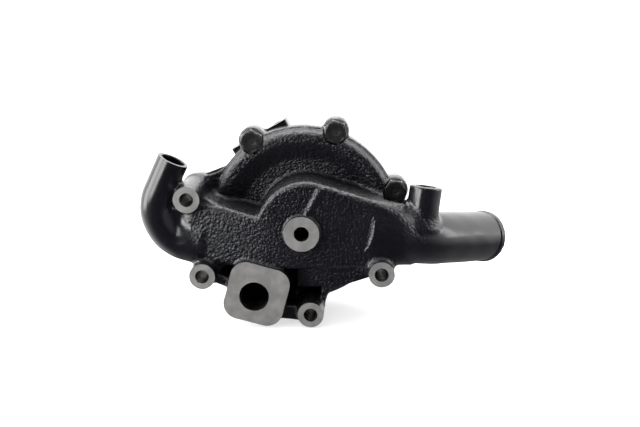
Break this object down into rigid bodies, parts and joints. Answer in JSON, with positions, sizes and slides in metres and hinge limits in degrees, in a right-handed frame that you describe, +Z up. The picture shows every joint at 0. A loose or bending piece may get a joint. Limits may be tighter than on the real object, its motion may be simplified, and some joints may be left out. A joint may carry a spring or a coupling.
{
  "type": "water pump",
  "caption": "Cast volute coolant pump with curved suction stub, bypass elbow, square discharge flange, bearing cover and turning shaft, impeller and pulley hub.",
  "frame": {"origin": "where the shaft's axis meets the engine mounting face, at the mouth of the centre boss's blind hole", "axes": "+X towards the suction stub, +Y along the shaft from the engine to the pulley hub, +Z up"},
  "size_m": [0.308, 0.167, 0.165],
  "materials": {
    "casting": "black enamel over sand-cast iron, machined faces left bare",
    "gasket": "pressed fibre sheet, edge showing",
    "black_steel": "forged hexagon heads under the same black enamel",
    "impeller_iron": "bare cast iron with turned faces",
    "ground_steel": "ground and polished bearing steel",
    "turned_steel": "turned steel with fine lathe rings",
    "rubber": "moulded black nitrile rubber",
    "ceramic": "lapped off-white alumina",
    "carbon": "lapped carbon graphite",
    "spring_steel": "drawn spring steel, lightly oiled",
    "brass": "pressed brass",
    "plated_steel": "zinc plated pressed steel",
    "ball_steel": "polished balls"
  },
  "bodies": {
    "housing": {"pump_body": "casting", "cover_gasket": "gasket", "front_cover": "casting", "cover_bolts": "black_steel", "seal_carbon_ring": "carbon", "seal_bellows": "rubber", "seal_spring": "spring_steel", "seal_cup": "brass", "inner_bearing_outer_race": "ground_steel", "inner_bearing_shields": "rubber", "outer_bearing_outer_race": "ground_steel", "outer_bearing_shields": "rubber", "bearing_circlip": "spring_steel"},
    "rotor": {"impeller": "impeller_iron", "shaft": "ground_steel", "pulley_hub": "turned_steel", "seal_seat_boot": "rubber", "seal_seat": "ceramic", "slinger": "plated_steel", "inner_bearing_inner_race": "ground_steel", "outer_bearing_inner_race": "ground_steel", "bearing_spacer": "turned_steel"},
    "inner_ball_set": {"inner_bearing_balls": "ball_steel", "inner_bearing_cage": "brass"},
    "outer_ball_set": {"outer_bearing_balls": "ball_steel", "outer_bearing_cage": "brass"}
  },
  "joints": [
    {"name": "shaft_turn", "type": "hinge", "parent": "housing", "child": "rotor", "pos_m": [0, 0.11, 0], "axis": [0, 1, 0], "continuous": true},
    {"name": "inner_balls_turn", "type": "hinge", "parent": "housing", "child": "inner_ball_set", "pos_m": [0, 0.1095, 0], "axis": [0, 1, 0], "continuous": true},
    {"name": "outer_balls_turn", "type": "hinge", "parent": "housing", "child": "outer_ball_set", "pos_m": [0, 0.1305, 0], "axis": [0, 1, 0], "continuous": true}
  ],
  "couplings": [
    {"joint": "inner_balls_turn", "follows": "shaft_turn", "ratio": 0.3678},
    {"joint": "outer_balls_turn", "follows": "shaft_turn", "ratio": 0.3678}
  ]
}
